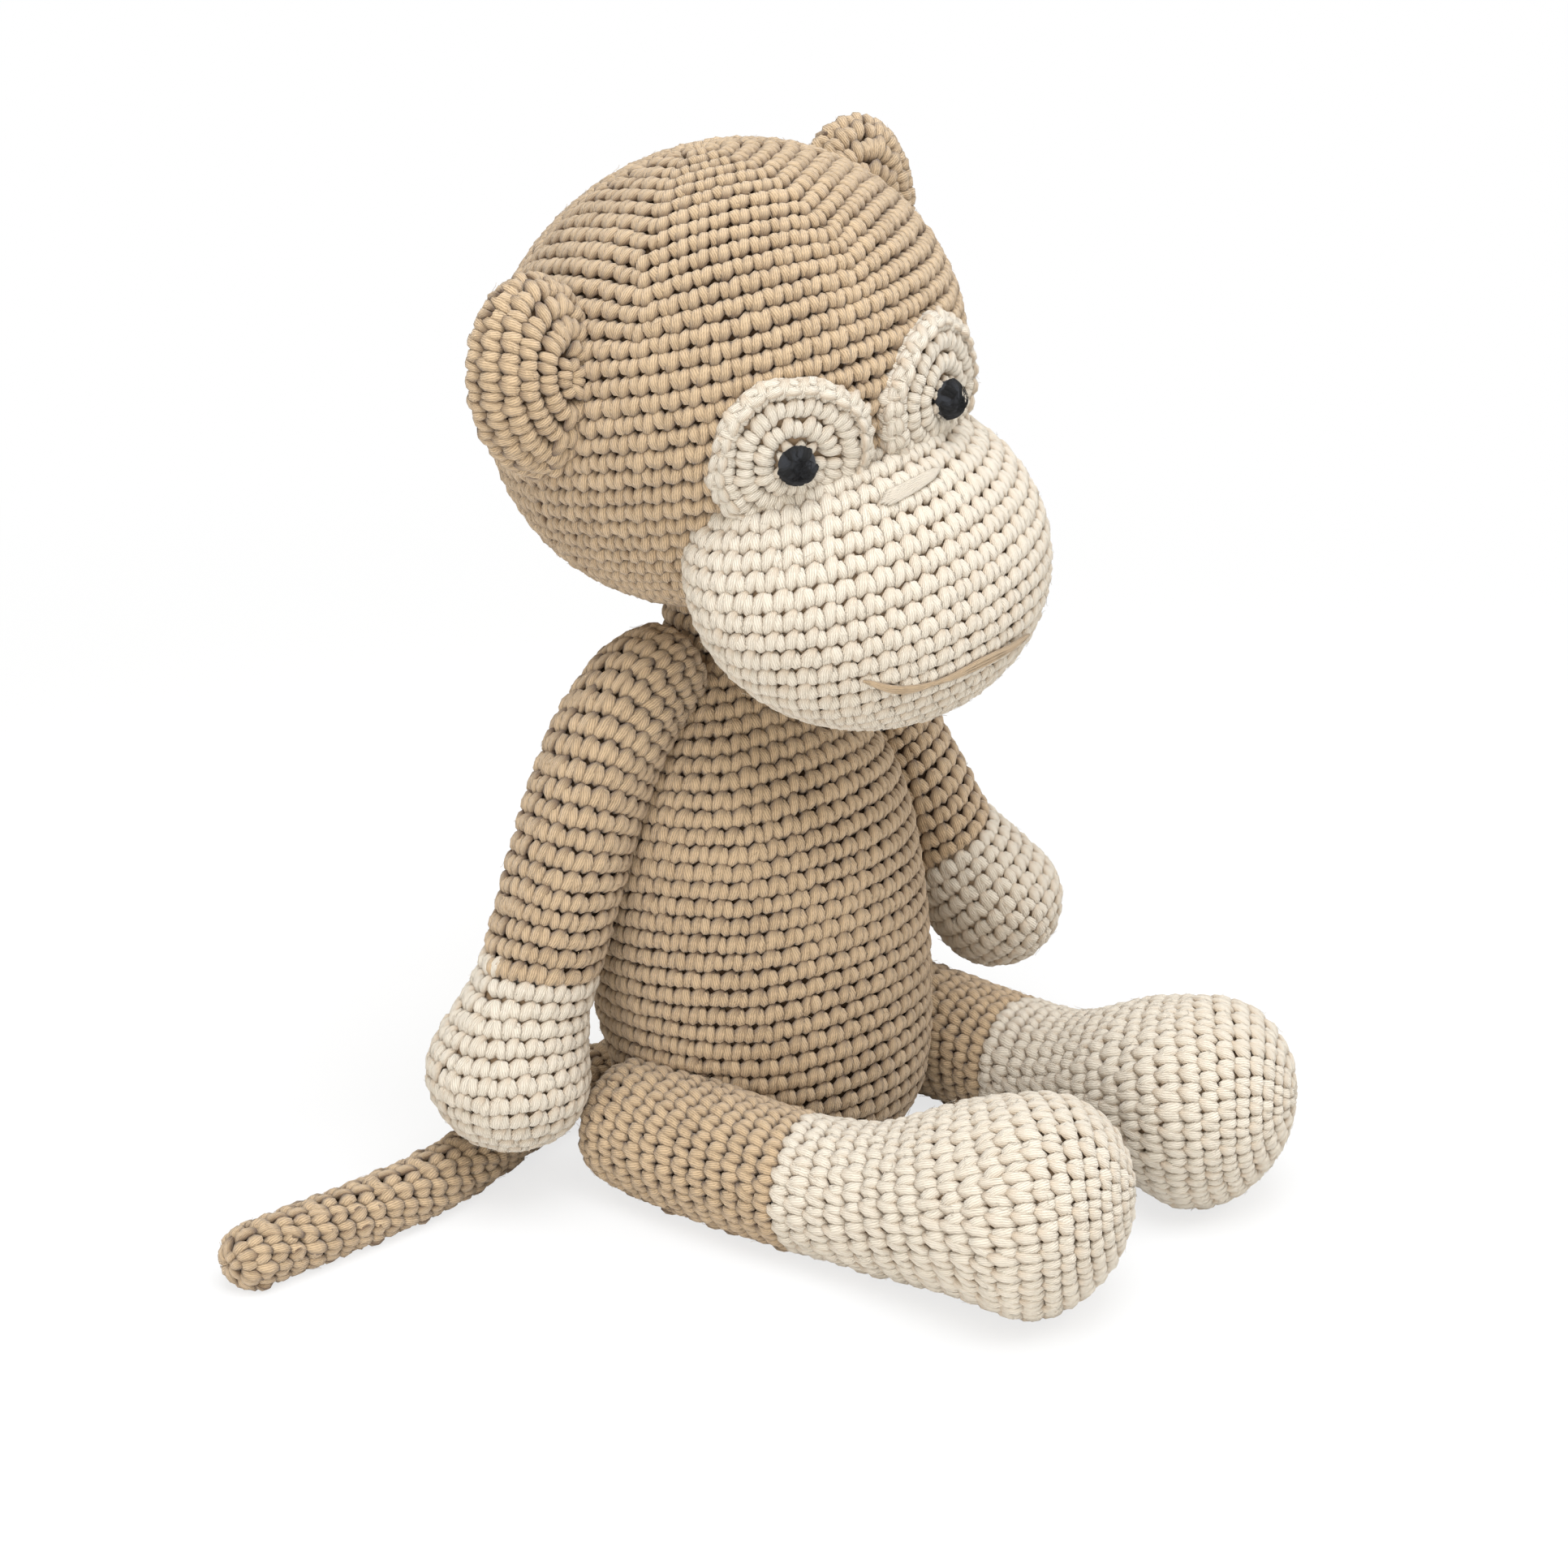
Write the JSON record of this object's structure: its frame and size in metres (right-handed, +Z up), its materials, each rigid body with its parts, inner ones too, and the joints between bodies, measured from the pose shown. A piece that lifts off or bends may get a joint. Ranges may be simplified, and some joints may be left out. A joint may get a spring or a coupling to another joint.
{
  "type": "crochet monkey soft toy",
  "caption": "Sitting crochet monkey toy with stuffed body, nodding and turning head, swinging arms and legs, and a long sewn-on tail.",
  "frame": {"origin": "on the floor under the torso, in the plane the seated toy rests on", "axes": "+Z up, the torso faces -Y, the monkey's right side is -X"},
  "size_m": [0.2654, 0.222, 0.2823],
  "materials": {
    "tan_yarn": "matte crochet cotton",
    "cream_yarn": "matte crochet cotton",
    "black_yarn": "matte cotton yarn knot",
    "filling_fibre": "loose polyester fibre"
  },
  "bodies": {
    "torso": {"torso_cover": "tan_yarn", "torso_filling": "filling_fibre"},
    "neck": {"neck_cover": "tan_yarn", "neck_filling": "filling_fibre"},
    "head": {"head_cover": "tan_yarn", "head_filling": "filling_fibre", "muzzle_cover": "cream_yarn", "muzzle_filling": "filling_fibre", "mouth_stitch": "tan_yarn", "nose_stitch": "cream_yarn", "ear_right": "tan_yarn", "ear_left": "tan_yarn", "eye_patch_right": "cream_yarn", "pupil_right": "black_yarn", "eye_patch_left": "cream_yarn", "pupil_left": "black_yarn"},
    "right_arm": {"arm_right": "tan_yarn", "hand_right": "cream_yarn", "arm_right_filling": "filling_fibre"},
    "left_arm": {"arm_left": "tan_yarn", "hand_left": "cream_yarn", "arm_left_filling": "filling_fibre"},
    "right_leg": {"leg_right": "tan_yarn", "foot_right": "cream_yarn", "leg_right_filling": "filling_fibre"},
    "left_leg": {"leg_left": "tan_yarn", "foot_left": "cream_yarn", "leg_left_filling": "filling_fibre"},
    "tail": {"tail_cover": "tan_yarn", "tail_filling": "filling_fibre"}
  },
  "joints": [
    {"name": "neck_nod", "type": "hinge", "parent": "torso", "child": "neck", "pos_m": [0, 0.01979, 0.14454], "axis": [1, 0, 0], "range_deg": [-20, 12], "stiffness_Nm_per_rad": 1.5},
    {"name": "head_turn", "type": "hinge", "parent": "neck", "child": "head", "pos_m": [0, 0.01979, 0.14454], "axis": [0, -0.0842, 0.9965], "range_deg": [-25, 25], "stiffness_Nm_per_rad": 0.8},
    {"name": "right_arm_swing", "type": "hinge", "parent": "torso", "child": "right_arm", "pos_m": [0, 0.018, 0.14], "axis": [-0.9781, 0.2079, 0], "range_deg": [-15, 75]},
    {"name": "left_arm_swing", "type": "hinge", "parent": "torso", "child": "left_arm", "pos_m": [0, 0.018, 0.14], "axis": [-1, 0, 0], "range_deg": [-10, 50]},
    {"name": "right_leg_swing", "type": "hinge", "parent": "torso", "child": "right_leg", "pos_m": [0, 0.006, 0.018], "axis": [1, 0, 0], "range_deg": [0, 90]},
    {"name": "left_leg_swing", "type": "hinge", "parent": "torso", "child": "left_leg", "pos_m": [0, 0.006, 0.018], "axis": [1, 0, 0], "range_deg": [0, 90]},
    {"name": "tail_swing", "type": "hinge", "parent": "torso", "child": "tail", "pos_m": [0, 0.033, 0.0085], "axis": [0, 0, 1], "range_deg": [-90, 0]}
  ]
}
